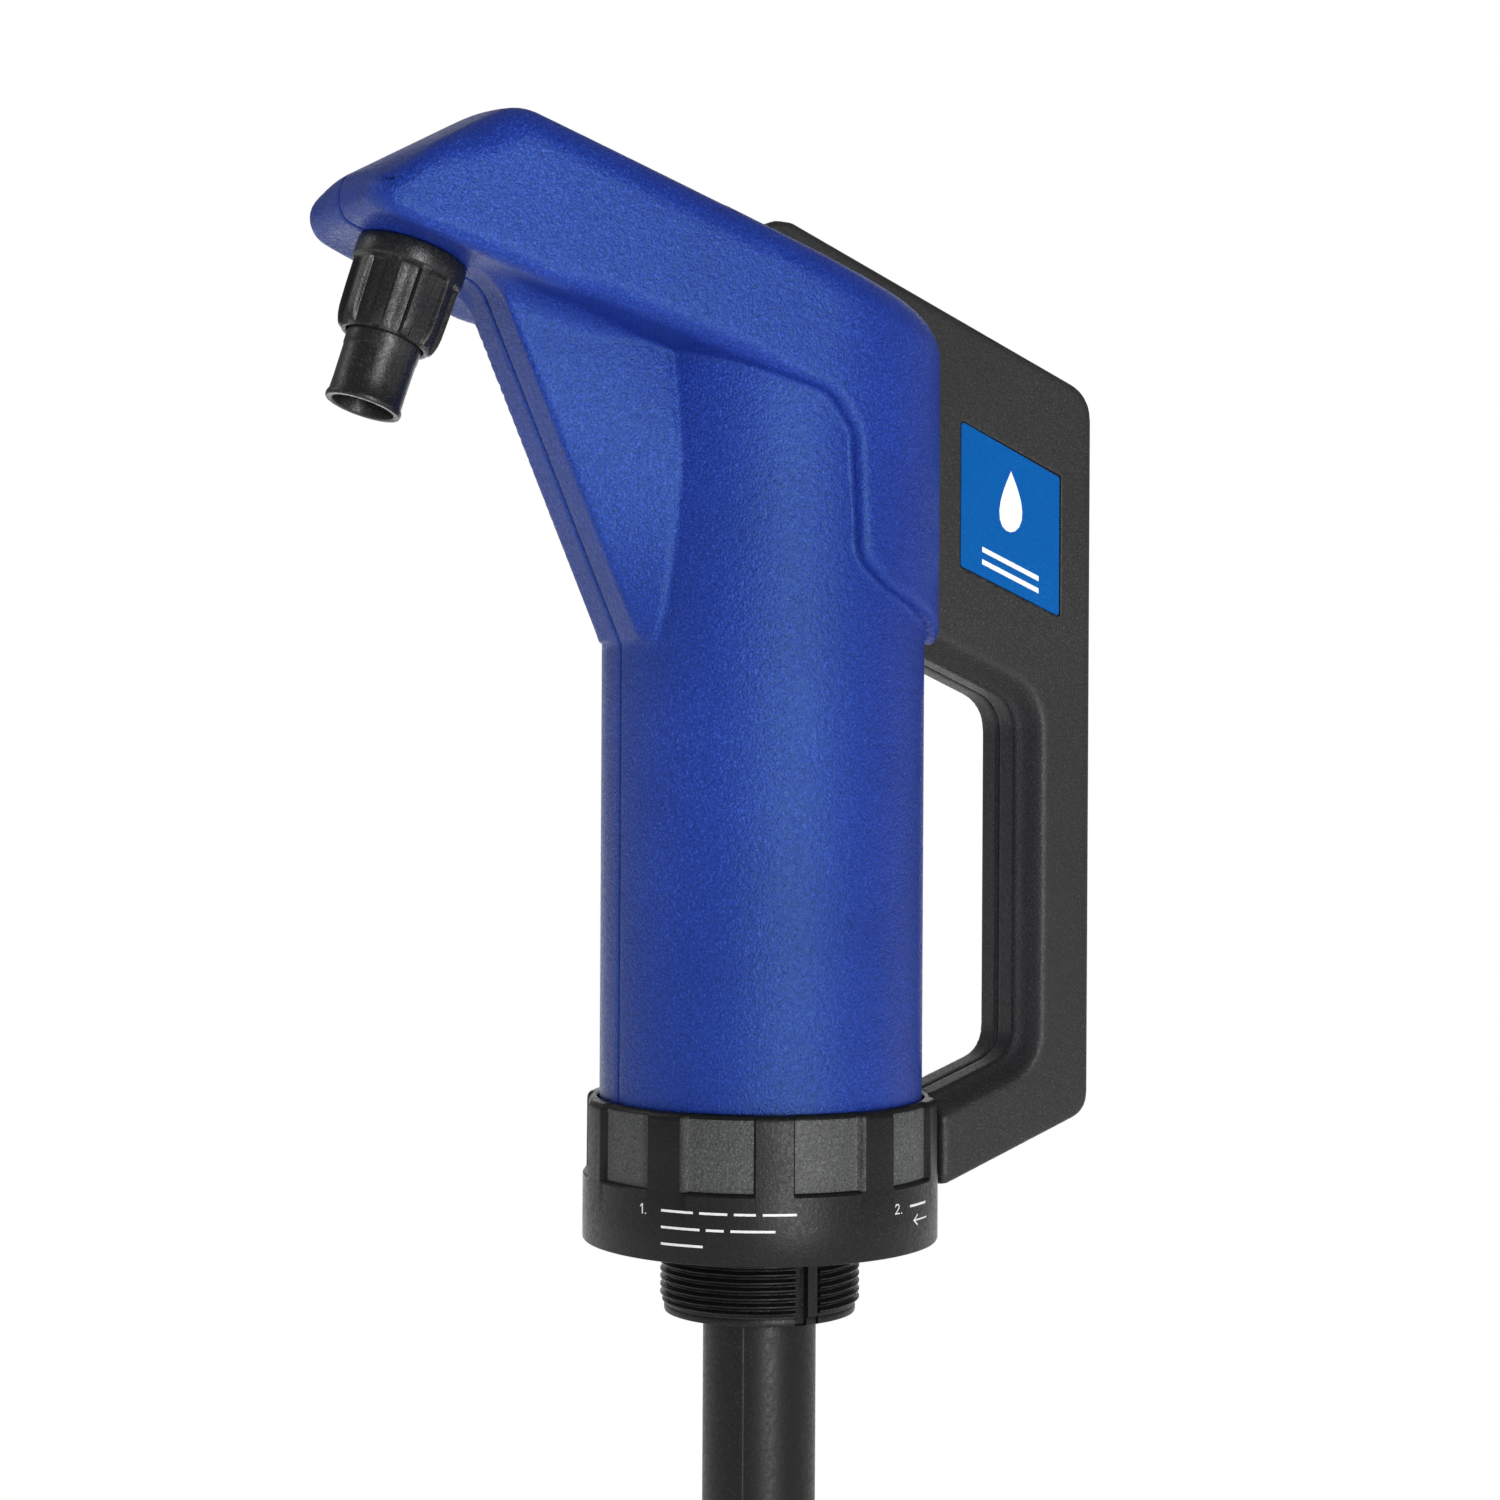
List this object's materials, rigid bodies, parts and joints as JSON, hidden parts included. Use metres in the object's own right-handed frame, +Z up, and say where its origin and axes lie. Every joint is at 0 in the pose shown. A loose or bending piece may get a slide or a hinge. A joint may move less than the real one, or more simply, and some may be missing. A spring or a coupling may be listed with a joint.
{
  "type": "drum barrel pump",
  "caption": "Lever-action piston pump that screws into a drum's bung, with a hooded spout, a D-grip lever and a telescoping suction tube.",
  "frame": {"origin": "on the barrel's axis at the underside of the clamp collar, where the pump seats on the drum's top", "axes": "+Z up along the barrel, -X towards the spout, +X towards the lever's grip, and the mid-plane is y = 0"},
  "size_m": [0.2491, 0.1062, 0.8049],
  "materials": {
    "blue_plastic": "fine spark-eroded grain",
    "black_plastic": "fine spark-eroded grain",
    "pipe_plastic": "satin",
    "white_plastic": "satin",
    "rubber": "matt",
    "steel": "turned",
    "label_film": "satin print"
  },
  "bodies": {
    "pump_body": {"housing_left": "blue_plastic", "housing_right": "blue_plastic", "housing_screw_1": "steel", "housing_screw_2": "steel", "housing_screw_3": "steel", "housing_screw_4": "steel", "bung_adapter": "black_plastic", "pump_barrel": "white_plastic", "barrel_base": "white_plastic", "barrel_head": "white_plastic", "rod_bush": "white_plastic", "rod_seal": "rubber", "gland_nut": "black_plastic", "foot_valve_cage": "white_plastic", "discharge_duct": "white_plastic", "outlet_washer": "rubber", "pivot_pin": "steel", "suction_tube": "pipe_plastic", "tube_gland": "black_plastic"},
    "lever": {"lever_left": "black_plastic", "lever_right": "black_plastic", "lever_screw_1": "steel", "lever_screw_2": "steel", "lever_screw_3": "steel", "label_left": "label_film", "label_right": "label_film", "pivot_bush_left": "white_plastic", "pivot_bush_right": "white_plastic", "cross_pin": "steel", "yoke_spacer_left": "white_plastic", "yoke_spacer_right": "white_plastic"},
    "rod": {"piston_rod": "steel", "rod_yoke": "steel", "piston": "white_plastic", "piston_seal": "rubber", "piston_nut": "steel", "valve_stop": "steel"},
    "piston_valve": {"piston_valve_disc": "rubber"},
    "foot_valve": {"foot_valve_disc": "rubber"},
    "gasket": {"drum_gasket": "rubber"},
    "collar": {"clamp_collar": "black_plastic"},
    "nozzle": {"spout_nozzle": "black_plastic"},
    "nut": {"spout_nut": "black_plastic"},
    "drop_tube": {"inner_tube": "pipe_plastic", "foot_strainer": "black_plastic"}
  },
  "joints": [
    {"name": "lever_swing", "type": "hinge", "parent": "pump_body", "child": "lever", "pos_m": [-0.0585, 0, 0.286], "axis": [0, -1, 0], "range_deg": [0, 55]},
    {"name": "rod_lift", "type": "slide", "parent": "pump_body", "child": "rod", "axis": [0, 0, 1], "range_m": [0, 0.0573]},
    {"name": "piston_valve_lift", "type": "slide", "parent": "rod", "child": "piston_valve", "axis": [0, 0, 1], "range_m": [0, 0.004]},
    {"name": "foot_valve_lift", "type": "slide", "parent": "pump_body", "child": "foot_valve", "axis": [0, 0, 1], "range_m": [0, 0.0035]},
    {"name": "collar_rise", "type": "slide", "parent": "pump_body", "child": "gasket", "axis": [0, 0, 1], "range_m": [0, 0.003]},
    {"name": "collar_turn", "type": "hinge", "parent": "gasket", "child": "collar", "pos_m": [0, 0, 0], "axis": [0, 0, 1], "range_deg": [0, 360]},
    {"name": "nut_travel", "type": "slide", "parent": "pump_body", "child": "nozzle", "axis": [-0.3223, 0, -0.9466], "range_m": [0, 0.003]},
    {"name": "nut_turn", "type": "hinge", "parent": "nozzle", "child": "nut", "pos_m": [-0.1139, 0, 0.2835], "axis": [-0.3223, 0, -0.9466], "range_deg": [0, 360]},
    {"name": "drop_tube_slide", "type": "slide", "parent": "pump_body", "child": "drop_tube", "axis": [0, 0, -1], "range_m": [0, 0.37]}
  ],
  "couplings": [
    {"joint": "rod_lift", "follows": "lever_swing", "m_per_rad": 0.05965},
    {"joint": "collar_rise", "follows": "collar_turn", "m_per_rad": 0.00047742},
    {"joint": "nut_travel", "follows": "nut_turn", "m_per_rad": 0.00047742}
  ]
}
